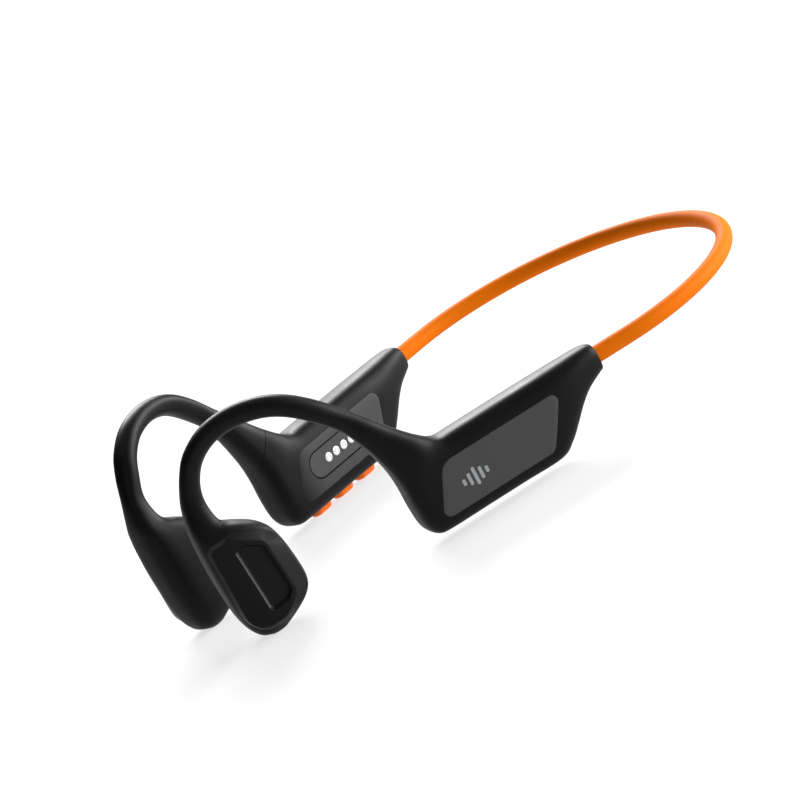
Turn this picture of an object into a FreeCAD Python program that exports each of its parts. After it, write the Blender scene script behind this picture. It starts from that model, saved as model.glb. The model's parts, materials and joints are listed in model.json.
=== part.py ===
import FreeCAD, Part
import math
import os

# Bone conduction headphones, in millimetres and in the attitude in which they are worn.
# +X is the wearer's left, +Y points backwards to the neckband and +Z is up. The origin is the
# bottom centre of the whole headset's box. Each arm is built once in its own arm frame
# (x = outwards from the head, y = backwards along the pod, z = up) and then placed.

Vector = FreeCAD.Vector

# ---- Driving dimensions -------------------------------------------------------------------

TOE_IN = 12.0                # degrees by which each pod and transducer turns towards the face
BAND_RADIUS = 45.2           # centre line of the round part of the neckband
BAND_CENTRE_Y = 32.6
BAND_HEIGHT = 17.4           # height of the neckband's centre line
BAND_TUBE_RADIUS = 2.0
BAND_LEAD = 8.4              # straight length of neckband between its arc and the pod
BAND_INSERT = 3.0            # length of neckband sleeve held inside the pod
WIRE_ENTRY_DEPTH = 8.0       # from the pod's rear end to the end of the wires' bore

CORE_WIRE_RADIUS = 0.55      # sprung titanium wire in the neckband and the hooks
LEAD_RADIUS = 0.26           # insulated copper lead beside the core wire
LEAD_OFFSET = 0.9            # from the core wire's axis to a lead's axis
BORE_RADIUS = 1.3            # channel for the core wire and the leads

POD_TOP = 21.2
POD_BOTTOM = 1.7
POD_THICKNESS = 11.0
POD_WALL = 1.4
POD_SEAM = -2.6              # outward position of the seam between shell and inner cover

HOOK_DIAMETER = 4.9
HOOK_BEND_START = -50.0      # along the pod: where the arm starts to lean towards the head
HOOK_BEND_LENGTH = 15.0
HOOK_BEND_ANGLE = 14.5       # degrees between the pod's side and the hook's side

TRANSDUCER_OUT = -9.2        # outward position of the transducer's middle plane
TRANSDUCER_THICKNESS = 11.0
TRANSDUCER_WALL = 1.2
TRANSDUCER_SEAM = TRANSDUCER_OUT - 1.6

PANEL_THICKNESS = 0.6
PANEL_CORNER = 1.6

BUTTON_PLACES = {"power_button": -41.2, "volume_down_button": -33.0, "volume_up_button": -24.8}
BUTTON_LENGTH = 6.4
BUTTON_WIDTH = 3.8
BUTTON_OUT = 0.3             # outward position of the buttons' middle line
BUTTON_PROUD = 1.6           # how far a button stands below the pod
BUTTON_GAP = 0.15            # running gap round a button
BUTTON_TRAVEL = 0.4

CONTACT_RADIUS = 1.1
CONTACT_PITCH = 2.8
CONTACT_COUNT = 4
CHARGE_MIDDLE = (-32.2, 11.5)
CHARGE_LENGTH = 21.0
CHARGE_HEIGHT = 6.2

SECTION_POINTS = 20          # points round one cross-section of the arm
FAR = 40.0                   # larger than half of any piece that is cut


# ---- Cross-sections of the arm ------------------------------------------------------------

# A station is (upper or front edge, lower or rear edge, thickness, squareness). The edges are
# (along the pod, height). Squareness 2 is an ellipse, and higher values are squarer.

POD_STATIONS = [
    ((0.0, 20.4), (0.0, 14.0), 5.8, 2.5),
    ((-1.5, 21.0), (-1.6, 13.4), 6.9, 2.6),
    ((-4.5, POD_TOP), (-4.9, 11.9), 8.4, 2.7),
    ((-8.0, POD_TOP), (-8.1, 9.5), 9.7, 2.8),
    ((-11.0, POD_TOP), (-11.2, 6.4), 10.5, 2.9),
    ((-14.0, POD_TOP), (-14.3, 3.6), 10.9, 3.1),
    ((-18.0, POD_TOP), (-18.2, POD_BOTTOM), POD_THICKNESS, 3.4),
    ((-28.0, POD_TOP), (-28.0, POD_BOTTOM), POD_THICKNESS, 3.4),
    ((-37.0, POD_TOP), (-37.5, POD_BOTTOM), POD_THICKNESS, 3.4),
    ((-40.5, POD_TOP), (-42.5, POD_BOTTOM), POD_THICKNESS, 3.5),
    ((-42.2, 21.8), (-47.4, POD_BOTTOM), POD_THICKNESS, 3.5),
    ((-43.2, 22.5), (-50.8, 2.1), POD_THICKNESS, 3.4),
    ((-44.0, 23.2), (-52.9, 4.6), 10.9, 3.4),
    ((-44.8, 23.9), (-53.5, 9.4), 10.7, 3.3),
    ((-45.8, 24.9), (-53.6, 14.5), 10.1, 3.2),
    ((-47.4, 26.6), (-54.2, 19.3), 9.0, 3.0),
    ((-49.8, 29.4), (-55.6, 24.3), 7.6, 2.7),
    ((-52.6, 32.9), (-57.4, 29.2), 6.3, 2.4),
]

# centre line of the hook, from the leg over the ear and down to the transducer
HOOK_CENTRES = [
    (-57.8, 35.2), (-62.5, 40.5), (-67.4, 44.6), (-72.5, 47.0), (-78.5, 47.9),
    (-84.6, 46.9), (-89.4, 43.9), (-92.2, 40.0),
]

TRANSDUCER_STATIONS = [
    ((-96.6, 36.2), (-91.5, 34.8), 5.1, 2.2),
    ((-97.8, 31.7), (-91.4, 30.9), 6.6, 2.4),
    ((-98.3, 28.7), (-90.4, 28.2), 8.2, 2.7),
    ((-98.4, 26.4), (-87.2, 26.3), 9.6, 2.9),
    ((-98.5, 24.3), (-84.0, 24.2), 10.4, 3.0),
    ((-98.5, 21.8), (-81.9, 21.8), 10.8, 3.1),
    ((-98.5, 18.0), (-80.6, 18.0), TRANSDUCER_THICKNESS, 3.1),
    ((-98.2, 13.0), (-79.8, 12.5), TRANSDUCER_THICKNESS, 3.1),
    ((-97.8, 8.6), (-79.6, 8.3), TRANSDUCER_THICKNESS, 3.1),
    ((-97.2, 5.6), (-80.3, 5.7), 10.5, 3.0),
    ((-96.3, 3.1), (-82.1, 3.8), 9.3, 3.0),
    ((-94.9, 1.1), (-85.2, 1.9), 7.2, 2.8),
    ((-92.8, 0.0), (-88.2, 0.3), 4.4, 2.6),
]

# The three mouldings of an arm meet at these stations, counted from the start of each list.
POD_PARTING = 15
TRANSDUCER_PARTING = 2
SMOOTH_STEPS = 2             # cross-sections made for each station


def lean(along):
    """Outward offset and lean angle (radians) of the arm's middle surface."""
    run = HOOK_BEND_START - along
    full = math.radians(HOOK_BEND_ANGLE)
    if run <= 0:
        return 0.0, 0.0
    if run < HOOK_BEND_LENGTH:
        angle = full * run / HOOK_BEND_LENGTH
        return -run * math.tan(angle / 2), angle
    bend_offset = HOOK_BEND_LENGTH * math.tan(full / 2)
    offset = -bend_offset - (run - HOOK_BEND_LENGTH) * math.tan(full)
    return max(offset, TRANSDUCER_OUT), full


def section(centre, half_a, half_b, squareness):
    """Closed wire: a superellipse about centre with the half axes half_a and half_b."""
    points = []
    power = 2.0 / squareness
    for step in range(SECTION_POINTS):
        turn = 2 * math.pi * step / SECTION_POINTS
        a = math.copysign(abs(math.cos(turn)) ** power, math.cos(turn))
        b = math.copysign(abs(math.sin(turn)) ** power, math.sin(turn))
        points.append(centre + half_a * a + half_b * b)
    curve = Part.BSplineCurve()
    curve.interpolate(Points=points, PeriodicFlag=True)
    return Part.Wire(curve.toShape())


def full_station(station, out=None):
    """Station as plain numbers, with the middle surface's offset and lean added."""
    upper, lower, thickness, squareness = station
    offset, angle = lean((upper[0] + lower[0]) / 2)
    if out is not None:
        offset, angle = out, 0.0
    return [*upper, *lower, thickness, squareness, offset, angle]


def smoothed(rows, steps):
    """Rows of numbers with steps rows made for each, on a smooth curve through all of them."""
    result = []
    for index in range(len(rows) - 1):
        before = rows[max(index - 1, 0)]
        start, finish = rows[index], rows[index + 1]
        after = rows[min(index + 2, len(rows) - 1)]
        for step in range(steps):
            t = step / steps
            row = []
            for p, q, r, s in zip(before, start, finish, after):
                row.append(q + 0.5 * t * (r - p + t * (2 * p - 5 * q + 4 * r - s
                                                       + t * (3 * q - p - 3 * r + s))))
            result.append(row)
    return result + [rows[-1]]


def station_section(station, inset):
    """Cross-section of the arm at a full station, drawn in by inset on every side."""
    upper_along, upper_height, lower_along, lower_height, thickness, square, out, angle = station
    middle = Vector(out, (upper_along + lower_along) / 2, (upper_height + lower_height) / 2)
    half_a = Vector(0, upper_along - lower_along, upper_height - lower_height) / 2
    half_a = half_a * ((half_a.Length - inset) / half_a.Length)
    half_b = Vector(math.cos(angle), -math.sin(angle), 0) * (thickness / 2 - inset)
    return section(middle, half_a, half_b, square)


def arm_body(first, last, inset=0.0):
    """Solid along the arm between two stations."""
    rows = ARM_ROWS[first * SMOOTH_STEPS:last * SMOOTH_STEPS + 1]
    return Part.makeLoft([station_section(row, inset) for row in rows], True, True)


def path_frames(path):
    """For each (along, height) of a path: its centre, upper-side normal and outward normal."""
    frames = []
    for index, (along, height) in enumerate(path):
        before = path[max(index - 1, 0)]
        after = path[min(index + 1, len(path) - 1)]
        run = math.hypot(after[0] - before[0], after[1] - before[1])
        travel = ((after[0] - before[0]) / run, (after[1] - before[1]) / run)
        offset, angle = lean(along)
        normal = Vector(0, travel[1], -travel[0])
        outward = Vector(math.cos(angle), -math.sin(angle), 0)
        frames.append((Vector(offset, along, height), normal, outward))
    return frames


def path_tube(path, radius, aside=0.0):
    """Round rod along a path, moved aside along the outward normal."""
    wires = []
    for centre, normal, outward in path_frames(smoothed(path, SMOOTH_STEPS)):
        wires.append(section(centre + outward * aside, normal * radius, outward * radius, 2.0))
    return Part.makeLoft(wires, True, True)


def prism(corners, low, high, radius):
    """Plate between the outward positions low and high, with its corners rounded to radius."""
    edges = []
    rounded = []
    count = len(corners)
    for index in range(count):
        corner = Vector(low, *corners[index])
        to_last = (Vector(low, *corners[index - 1]) - corner).normalize()
        to_next = (Vector(low, *corners[(index + 1) % count]) - corner).normalize()
        half = to_last.getAngle(to_next) / 2
        start = corner + to_last * (radius / math.tan(half))
        finish = corner + to_next * (radius / math.tan(half))
        inward = (to_last + to_next).normalize()
        middle = corner + inward * (radius / math.sin(half) - radius)
        rounded.append((start, middle, finish))
    for index in range(count):
        start, middle, finish = rounded[index]
        edges.append(Part.Arc(start, middle, finish).toShape())
        following = rounded[(index + 1) % count][0]
        if (following - finish).Length > 0.001:
            edges.append(Part.makeLine(finish, following))
    face = Part.Face(Part.Wire(edges))
    return face.extrude(Vector(high - low, 0, 0))


def block(low, high):
    """Box between two opposite corners (outward, along, height)."""
    size = [high[i] - low[i] for i in range(3)]
    return Part.makeBox(size[0], size[1], size[2], Vector(*low))


def rounded_block(low, high, radius):
    """Box between two corners with every edge rounded."""
    box = block(low, high)
    return box.makeFillet(radius, box.Edges)


def stadium(middle, out, length, width, base, top):
    """Upright plate with round ends, its long side along the pod."""
    half = length / 2 - width / 2
    ends = [Vector(out, middle - half, base), Vector(out, middle + half, base)]
    shape = block((out - width / 2, middle - half, base), (out + width / 2, middle + half, top))
    for end in ends:
        shape = shape.fuse(Part.makeCylinder(width / 2, top - base, end))
    return shape.removeSplitter()


def disc(radius, low, high, centre):
    """Cylinder along the outward axis, about a centre of (along, height)."""
    return Part.makeCylinder(radius, high - low, Vector(low, *centre), Vector(1, 0, 0))


# ---- The arm's outer volume and its hollows -----------------------------------------------

hook_stations = []
hook_radius = HOOK_DIAMETER / 2
for hook_centre, hook_normal, _ in path_frames(HOOK_CENTRES):
    hook_upper = hook_centre + hook_normal * hook_radius
    hook_lower = hook_centre - hook_normal * hook_radius
    hook_stations.append(
        ((hook_upper.y, hook_upper.z), (hook_lower.y, hook_lower.z), HOOK_DIAMETER, 2.1)
    )

arm_stations = [full_station(station) for station in POD_STATIONS + hook_stations]
arm_stations += [full_station(station, TRANSDUCER_OUT) for station in TRANSDUCER_STATIONS]
ARM_ROWS = smoothed(arm_stations, SMOOTH_STEPS)
transducer_first = len(POD_STATIONS) + len(hook_stations) + TRANSDUCER_PARTING
arm_last = len(arm_stations) - 1

pod_skin = arm_body(0, POD_PARTING)
hook_skin = arm_body(POD_PARTING, transducer_first)
transducer_skin = arm_body(transducer_first, arm_last)
pod_hollow = arm_body(2, POD_PARTING - 2, POD_WALL)
transducer_hollow = arm_body(transducer_first + 2, arm_last - 2, TRANSDUCER_WALL)

# the wires' channel, from the pod's hollow through the hook to the transducer's hollow
WIRE_PATH = [(-46.0, 13.0), (-48.6, 17.6), (-50.6, 21.8), (-52.6, 26.6), (-54.8, 31.0)]
WIRE_PATH += HOOK_CENTRES + [(-93.7, 35.4), (-94.4, 31.2), (-94.2, 27.4), (-93.4, 24.0),
                             (-92.4, 21.6)]
wire_channel = path_tube(WIRE_PATH, BORE_RADIUS)


def beyond(position):
    """Everything further outwards than a position."""
    return block((position, -150.0, -20.0), (position + FAR, 50.0, 80.0))


# ---- Pod: shell, inner cover and their panels ---------------------------------------------

OUTER_PANEL_CORNERS = [(-40.9, 16.6), (-12.4, 16.6), (-19.6, 4.9), (-49.0, 4.9)]
INNER_PANEL_CORNERS = [(-40.9, 17.0), (-13.4, 17.0), (-21.6, 5.4), (-50.0, 5.4)]

band_entry = Part.makeCylinder(
    BAND_TUBE_RADIUS, FAR, Vector(0, -BAND_INSERT, BAND_HEIGHT), Vector(0, 1, 0)
)
band_wire_entry = Part.makeCylinder(
    BORE_RADIUS, FAR, Vector(0, -WIRE_ENTRY_DEPTH, BAND_HEIGHT), Vector(0, 1, 0)
)

pod_walls = pod_skin.cut(pod_hollow).cut(wire_channel).cut(band_entry).cut(band_wire_entry)

panel_floor = POD_THICKNESS / 2 - PANEL_THICKNESS
outer_panel_space = prism(OUTER_PANEL_CORNERS, panel_floor, POD_THICKNESS, PANEL_CORNER)
inner_panel_space = prism(INNER_PANEL_CORNERS, -POD_THICKNESS, -panel_floor, PANEL_CORNER)
outer_panel = pod_skin.common(outer_panel_space)
inner_panel = pod_skin.common(inner_panel_space)

pod_outer_shell = pod_walls.common(beyond(POD_SEAM)).cut(outer_panel_space)
pod_inner_cover = pod_walls.cut(beyond(POD_SEAM)).cut(inner_panel_space)


# ---- Hook: soft sleeve over a sprung core wire and two leads --------------------------------

hook_sleeve = hook_skin.cut(wire_channel)
hook_core_wire = path_tube(WIRE_PATH, CORE_WIRE_RADIUS)
hook_lead_wires = Part.makeCompound(
    [path_tube(WIRE_PATH, LEAD_RADIUS, side * LEAD_OFFSET) for side in (-1, 1)]
)


# ---- Transducer: two-part case and the moving-coil driver inside ----------------------------

INSERT_CORNERS = [(-97.0, 24.4), (-92.2, 24.7), (-83.8, 20.6), (-82.6, 6.2), (-88.0, 2.4),
                  (-96.7, 2.4)]
INSERT_CORNER_RADIUS = 1.8
POCKET_CORNERS = [(-92.2, 22.2), (-89.6, 22.1), (-85.7, 19.6), (-84.6, 7.6), (-86.4, 5.9),
                  (-91.0, 5.6)]
POCKET_CORNER_RADIUS = 0.8
POCKET_DEPTH = 0.5
INSERT_THICKNESS = 1.0
DRIVER_MIDDLE = (-89.6, 12.8)
YOKE_RADIUS = 6.2
YOKE_WALL = 0.6
YOKE_LOW = TRANSDUCER_OUT - 2.2
YOKE_HIGH = TRANSDUCER_OUT + 2.4
MAGNET_RADIUS = 4.0
MAGNET_THICKNESS = 2.4
COIL_INNER = 4.4
COIL_OUTER = 5.2
COIL_LOW = YOKE_LOW - 0.7
COIL_HIGH = YOKE_HIGH - 1.6
SPRING_THICKNESS = 0.25
BRACKET_THICKNESS = 0.8

transducer_walls = transducer_skin.cut(transducer_hollow).cut(wire_channel)
insert_floor = TRANSDUCER_OUT + TRANSDUCER_THICKNESS / 2 - INSERT_THICKNESS
insert_space = prism(INSERT_CORNERS, insert_floor, TRANSDUCER_OUT + FAR, INSERT_CORNER_RADIUS)
pocket = prism(
    POCKET_CORNERS, TRANSDUCER_OUT + TRANSDUCER_THICKNESS / 2 - POCKET_DEPTH,
    TRANSDUCER_OUT + FAR, POCKET_CORNER_RADIUS
)
transducer_face_insert = transducer_skin.common(insert_space).cut(pocket)
transducer_outer_shell = transducer_walls.common(beyond(TRANSDUCER_SEAM)).cut(insert_space)
transducer_skin_cover = transducer_walls.cut(beyond(TRANSDUCER_SEAM))

transducer_yoke = disc(YOKE_RADIUS, YOKE_LOW, YOKE_HIGH, DRIVER_MIDDLE)
transducer_yoke = transducer_yoke.cut(
    disc(YOKE_RADIUS - YOKE_WALL, YOKE_LOW - 1.0, YOKE_HIGH - YOKE_WALL, DRIVER_MIDDLE)
)
transducer_magnet = disc(
    MAGNET_RADIUS, YOKE_HIGH - YOKE_WALL - MAGNET_THICKNESS, YOKE_HIGH - YOKE_WALL, DRIVER_MIDDLE
)
transducer_voice_coil = disc(COIL_OUTER, COIL_LOW, COIL_HIGH, DRIVER_MIDDLE)
transducer_voice_coil = transducer_voice_coil.cut(
    disc(COIL_INNER, COIL_LOW - 1.0, COIL_HIGH + 1.0, DRIVER_MIDDLE)
)

# the spring plate carries the coil and is slotted so that it bends
transducer_spring_plate = disc(
    YOKE_RADIUS, COIL_LOW - SPRING_THICKNESS, COIL_LOW, DRIVER_MIDDLE
)
SLOT_COUNT = 3
SLOT_RADIUS = 3.0
SLOT_WIDTH = 0.5
SLOT_SWEEP = 90.0
for slot_number in range(SLOT_COUNT):
    slot_turn = 360.0 * slot_number / SLOT_COUNT
    slot_tool = disc(SLOT_RADIUS, COIL_LOW - 1.0, COIL_LOW + 1.0, DRIVER_MIDDLE).cut(
        disc(SLOT_RADIUS - SLOT_WIDTH, COIL_LOW - 1.0, COIL_LOW + 1.0, DRIVER_MIDDLE)
    )
    slot_sector = Part.makeCylinder(
        YOKE_RADIUS, 2.0, Vector(COIL_LOW - 1.0, *DRIVER_MIDDLE), Vector(1, 0, 0), SLOT_SWEEP
    )
    slot_sector.rotate(Vector(0, *DRIVER_MIDDLE), Vector(1, 0, 0), slot_turn)
    transducer_spring_plate = transducer_spring_plate.cut(slot_tool.common(slot_sector))

# the bracket joins the yoke's back to the outer shell
BRACKET_HALF_WIDTH = 3.0
transducer_bracket = block(
    (YOKE_HIGH, DRIVER_MIDDLE[0] - YOKE_RADIUS, DRIVER_MIDDLE[1] - BRACKET_HALF_WIDTH),
    (YOKE_HIGH + BRACKET_THICKNESS, DRIVER_MIDDLE[0] + YOKE_RADIUS,
     DRIVER_MIDDLE[1] + BRACKET_HALF_WIDTH)
)


# ---- Left pod: battery ----------------------------------------------------------------------

BATTERY_LOW = (-2.2, -44.6, 5.4)
BATTERY_HIGH = (3.0, -18.0, 16.6)
BATTERY_ROUNDING = 0.8
PROTECTION_BOARD_OUT = -1.5
PROTECTION_BOARD_THICKNESS = 0.6
PROTECTION_BOARD_LENGTH = 4.5
FOAM_THICKNESS = 0.8
FOAM_MARGIN = 1.6            # from the cell's edge to the foam pad's edge
battery_cell = rounded_block(BATTERY_LOW, BATTERY_HIGH, BATTERY_ROUNDING)
battery_protection_board = block(
    (PROTECTION_BOARD_OUT, BATTERY_HIGH[1], BATTERY_LOW[2] + FOAM_MARGIN),
    (PROTECTION_BOARD_OUT + PROTECTION_BOARD_THICKNESS,
     BATTERY_HIGH[1] + PROTECTION_BOARD_LENGTH, BATTERY_HIGH[2] - FOAM_MARGIN)
)
battery_foam_pad = block(
    (BATTERY_LOW[0] - FOAM_THICKNESS, BATTERY_LOW[1] + FOAM_MARGIN, BATTERY_LOW[2] + FOAM_MARGIN),
    (BATTERY_LOW[0], BATTERY_HIGH[1] - FOAM_MARGIN, BATTERY_HIGH[2] - FOAM_MARGIN)
)


# ---- Right pod: circuit board, buttons and charging contacts --------------------------------

BOARD_LOW = 1.6
BOARD_HIGH = 2.4
BOARD_CORNERS = [(-42.0, 17.2), (-14.0, 17.2), (-20.0, 5.6), (-46.5, 5.6)]
BOARD_CORNER_RADIUS = 1.0
main_board = prism(BOARD_CORNERS, BOARD_LOW, BOARD_HIGH, BOARD_CORNER_RADIUS)
# radio chip, memory, charger and crystal: (along, height, length, width, thickness)
CHIPS = [(-38.0, 12.5, 5.0, 5.0, 0.9), (-30.5, 13.5, 3.0, 3.0, 0.8), (-25.5, 12.0, 2.5, 2.0, 0.7),
         (-21.5, 14.0, 2.0, 1.6, 0.6)]
board_chips = Part.makeCompound([
    block((BOARD_HIGH, along - length / 2, height - width / 2),
          (BOARD_HIGH + thickness, along + length / 2, height + width / 2))
    for along, height, length, width, thickness in CHIPS
])
MICROPHONE_THICKNESS = 1.1
MICROPHONE_ROUNDING = 0.2
microphone = rounded_block(
    (BOARD_LOW - MICROPHONE_THICKNESS, -44.6, 12.0), (BOARD_LOW, -41.8, 15.5),
    MICROPHONE_ROUNDING
)
ANTENNA_LOW = (-1.4, -37.0, 17.6)
ANTENNA_HIGH = (2.2, -16.0, 18.2)
antenna = block(ANTENNA_LOW, ANTENNA_HIGH)

WALL_TOP = POD_BOTTOM + POD_WALL
FLANGE_LOW = WALL_TOP + 0.1
FLANGE_HIGH = FLANGE_LOW + 0.6
FLANGE_MARGIN = 0.45         # by which the flange is wider than the cap on each side
FLANGE_GAP = 0.2             # clearance round the flange in the thick corners of the shell
CAP_ROUNDING = 1.0
STEM_TOP = 5.0
STEM_RADIUS = 0.9
SEAL_LOW = FLANGE_HIGH + BUTTON_TRAVEL + 0.1
SEAL_HIGH = SEAL_LOW + 0.4
SWITCH_LOW = STEM_TOP + BUTTON_TRAVEL + 0.15
SWITCH_HIGH = SWITCH_LOW + 1.9
SWITCH_LENGTH = 4.0
SWITCH_DEPTH = 2.0
PLUNGER_RADIUS = 0.6
PLUNGER_HEIGHT = 0.3

buttons = {}
switches = []
button_holes = []
stem_holes = []
for button_name, along in BUTTON_PLACES.items():
    cap = stadium(
        along, BUTTON_OUT, BUTTON_LENGTH, BUTTON_WIDTH, POD_BOTTOM - BUTTON_PROUD, FLANGE_LOW
    )
    lower_edges = [edge for edge in cap.Edges if edge.BoundBox.ZMax < POD_BOTTOM]
    cap = cap.makeFillet(CAP_ROUNDING, lower_edges)
    flange = stadium(
        along, BUTTON_OUT, BUTTON_LENGTH + 2 * FLANGE_MARGIN, BUTTON_WIDTH + 2 * FLANGE_MARGIN,
        FLANGE_LOW, FLANGE_HIGH
    )
    stem_foot = Vector(BUTTON_OUT, along, FLANGE_HIGH)
    stem = Part.makeCylinder(STEM_RADIUS, STEM_TOP - FLANGE_HIGH, stem_foot)
    buttons[button_name] = cap.fuse(flange).fuse(stem).removeSplitter()
    button_holes.append(stadium(
        along, BUTTON_OUT, BUTTON_LENGTH + 2 * BUTTON_GAP, BUTTON_WIDTH + 2 * BUTTON_GAP,
        -5.0, WALL_TOP + 2.0
    ))
    stem_holes.append(Part.makeCylinder(
        STEM_RADIUS + BUTTON_GAP, 5.0, Vector(BUTTON_OUT, along, FLANGE_HIGH)
    ))
    switch_body = block(
        (BOARD_LOW - SWITCH_DEPTH, along - SWITCH_LENGTH / 2, SWITCH_LOW + PLUNGER_HEIGHT),
        (BOARD_LOW, along + SWITCH_LENGTH / 2, SWITCH_HIGH)
    )
    plunger_foot = Vector(BUTTON_OUT, along, SWITCH_LOW)
    plunger = Part.makeCylinder(PLUNGER_RADIUS, PLUNGER_HEIGHT, plunger_foot)
    switches.append(switch_body.fuse(plunger))
button_switches = Part.makeCompound(switches)

SEAL_FRONT = -45.0
SEAL_REAR = -21.0
button_seal = block((-1.9, SEAL_FRONT, SEAL_LOW), (3.1, SEAL_REAR, SEAL_HIGH)).common(pod_hollow)
for hole in stem_holes:
    button_seal = button_seal.cut(hole)
# each flange needs a pocket where the shell's wall thickens towards its corners
pocket_margin = 2 * (FLANGE_MARGIN + FLANGE_GAP)
flange_pockets = [
    stadium(along, BUTTON_OUT, BUTTON_LENGTH + pocket_margin, BUTTON_WIDTH + pocket_margin,
            WALL_TOP, FLANGE_HIGH + BUTTON_TRAVEL + 0.1)
    for along in BUTTON_PLACES.values()
]

charge_along, charge_height = CHARGE_MIDDLE
charge_half = (CHARGE_LENGTH / 2, CHARGE_HEIGHT / 2)
charge_corners = [
    (charge_along - charge_half[0], charge_height - charge_half[1]),
    (charge_along - charge_half[0], charge_height + charge_half[1]),
    (charge_along + charge_half[0], charge_height + charge_half[1]),
    (charge_along + charge_half[0], charge_height - charge_half[1]),
]
CHARGE_SUNK = 0.1            # from the contacts' faces to the pad's face
CHARGE_DEPTH = 2.2           # from the contacts' faces to the pad's back
CONTACT_TAIL = 0.5           # how far a contact stands out of the pad's back
CHARGE_FACE = -POD_THICKNESS / 2 + CHARGE_SUNK
CHARGE_BACK = -POD_THICKNESS / 2 + CHARGE_DEPTH
charge_space = prism(charge_corners, -POD_THICKNESS, CHARGE_BACK, charge_half[1] - 0.01)
charging_pad = prism(charge_corners, CHARGE_FACE, CHARGE_BACK, charge_half[1] - 0.01)
contacts = []
for contact_number in range(CONTACT_COUNT):
    contact_along = charge_along + CONTACT_PITCH * (contact_number - (CONTACT_COUNT - 1) / 2)
    contact = disc(
        CONTACT_RADIUS, CHARGE_FACE - CHARGE_SUNK, CHARGE_BACK + CONTACT_TAIL,
        (contact_along, charge_height)
    )
    contacts.append(contact)
    charging_pad = charging_pad.cut(contact)
charging_contacts = Part.makeCompound(contacts)
MAGNET_OFFSET = 8.0
MAGNET_SIZE = (1.4, 2.6, 4.0)
charging_magnets = Part.makeCompound([
    block(
        (CHARGE_BACK, charge_along + side * MAGNET_OFFSET - MAGNET_SIZE[1] / 2,
         charge_height - MAGNET_SIZE[2] / 2),
        (CHARGE_BACK + MAGNET_SIZE[0], charge_along + side * MAGNET_OFFSET + MAGNET_SIZE[1] / 2,
         charge_height + MAGNET_SIZE[2] / 2)
    )
    for side in (-1, 1)
])

right_outer_shell = pod_outer_shell
for tool in button_holes + flange_pockets:
    right_outer_shell = right_outer_shell.cut(tool)
right_inner_cover = pod_inner_cover.cut(charge_space)
for tool in flange_pockets:
    right_inner_cover = right_inner_cover.cut(tool)
right_inner_panel = inner_panel.cut(charge_space)


# ---- Neckband -------------------------------------------------------------------------------

TOE = math.radians(TOE_IN)


def band_half(radius, inner_radius, start, shift=0.0):
    """Left half of a round rod or tube along the neckband, from start in the arm frame."""
    arc_radius = BAND_RADIUS + shift
    profile_centre = Vector(0, arc_radius + BAND_CENTRE_Y, BAND_HEIGHT)
    profile = Part.Face(Part.Wire(Part.makeCircle(radius, profile_centre, Vector(1, 0, 0))))
    arc = profile.revolve(Vector(0, BAND_CENTRE_Y, 0), Vector(0, 0, 1), -(90.0 + TOE_IN))
    end = Vector(
        arc_radius * math.cos(TOE), BAND_CENTRE_Y - arc_radius * math.sin(TOE), BAND_HEIGHT
    )
    direction = Vector(-math.sin(TOE), -math.cos(TOE), 0)
    straight = Part.makeCylinder(radius, BAND_LEAD - start, end, direction)
    rod = arc.fuse(straight).removeSplitter()
    if inner_radius > 0:
        rod = rod.cut(band_half(inner_radius, 0, start))
    return rod


ARM_ORIGIN = Vector(
    BAND_RADIUS * math.cos(TOE) - BAND_LEAD * math.sin(TOE),
    BAND_CENTRE_Y - BAND_RADIUS * math.sin(TOE) - BAND_LEAD * math.cos(TOE), 0
)

band_sleeve = band_half(BAND_TUBE_RADIUS, BORE_RADIUS, -BAND_INSERT)
WIRE_INSERT = 12.0           # length of the core wire and the leads inside the pod
band_core_wire = band_half(CORE_WIRE_RADIUS, 0, -WIRE_INSERT)
band_lead_wires = Part.makeCompound(
    [band_half(LEAD_RADIUS, 0, -WIRE_INSERT, side * LEAD_OFFSET) for side in (-1, 1)]
)
# a crimped ferrule holds the core wire's end in the pod
ANCHOR_RADIUS = 1.7
ANCHOR_LENGTH = 3.0
anchor_foot = Vector(0, 0.5 - WIRE_INSERT, BAND_HEIGHT)
backwards = Vector(0, 1, 0)
band_anchor = Part.makeCylinder(ANCHOR_RADIUS, ANCHOR_LENGTH, anchor_foot, backwards)
band_anchor = band_anchor.cut(
    Part.makeCylinder(CORE_WIRE_RADIUS, ANCHOR_LENGTH, anchor_foot, backwards)
)
for side in (-1, 1):
    lead_foot = anchor_foot + Vector(side * LEAD_OFFSET, 0, 0)
    band_anchor = band_anchor.cut(
        Part.makeCylinder(LEAD_RADIUS, ANCHOR_LENGTH, lead_foot, backwards)
    )


# ---- Placing and writing --------------------------------------------------------------------

def place_left(shape):
    """Move a piece from the arm frame to the left side of the headset."""
    placed = shape.copy()
    placed.rotate(Vector(0, 0, 0), Vector(0, 0, 1), -TOE_IN)
    placed.translate(ARM_ORIGIN)
    return placed


def mirrored(shape):
    return shape.mirror(Vector(0, 0, 0), Vector(1, 0, 0))


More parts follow.
